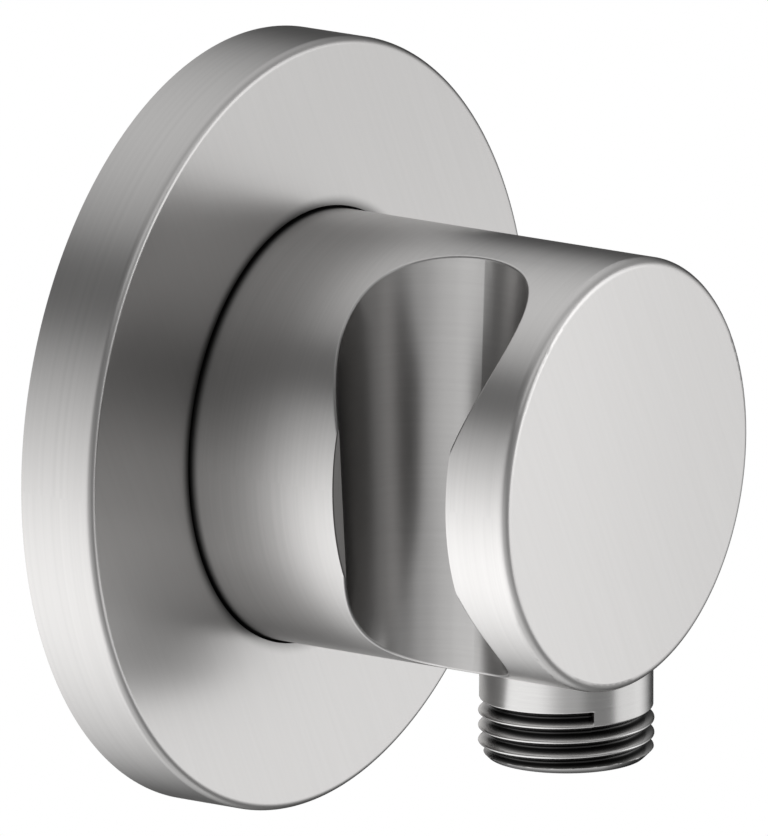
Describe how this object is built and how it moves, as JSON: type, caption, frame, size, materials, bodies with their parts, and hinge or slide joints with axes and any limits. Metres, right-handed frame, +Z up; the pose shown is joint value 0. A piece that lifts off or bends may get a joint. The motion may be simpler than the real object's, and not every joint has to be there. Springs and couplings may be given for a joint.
{
  "type": "wall outlet elbow with hand shower holder",
  "caption": "Round wall outlet elbow for a shower hose: a round rosette, a thick round bar with a tapered side pocket that holds the hand shower, and a threaded outlet underneath.",
  "frame": {"origin": "centre of the inlet thread, in the plane of the wall that the rosette lies against", "axes": "+Z up, +Y into the wall along the inlet thread, so the bar stands out of the wall along -Y; the pocket opens to -X"},
  "size_m": [0.093, 0.069, 0.093],
  "materials": {
    "brushed_nickel": "fine brushed, satin nickel",
    "outlet_nickel": "turned and nickel plated, half bright",
    "raw_brass": "turned brass",
    "stainless_steel": "plain stainless steel",
    "black_rubber": "matt rubber",
    "grey_foam": "closed cell foam",
    "red_fibre": "pressed fibre",
    "white_acetal": "moulded acetal",
    "blue_acetal": "moulded acetal"
  },
  "bodies": {
    "elbow": {"elbow_bar": "brushed_nickel", "rosette": "brushed_nickel", "rosette_o_ring": "black_rubber", "wall_seal": "grey_foam", "wall_nipple": "raw_brass", "nipple_gasket": "red_fibre", "nipple_o_ring_rear": "black_rubber", "nipple_o_ring_front": "black_rubber", "clamp_screw": "stainless_steel", "outlet_nipple": "outlet_nickel", "outlet_o_ring": "black_rubber", "valve_seat": "white_acetal", "valve_o_ring": "black_rubber", "valve_housing": "white_acetal", "valve_spring": "stainless_steel", "valve_clip": "stainless_steel"},
    "poppet": {"valve_poppet": "blue_acetal", "poppet_seal": "black_rubber"}
  },
  "joints": [
    {"name": "check_valve_travel", "type": "slide", "parent": "elbow", "child": "poppet", "axis": [0, 0, -1], "range_m": [0, 0.0024], "stiffness_N_per_m": 60, "springref_m": -0.0025, "deforming": ["valve_spring"]}
  ]
}
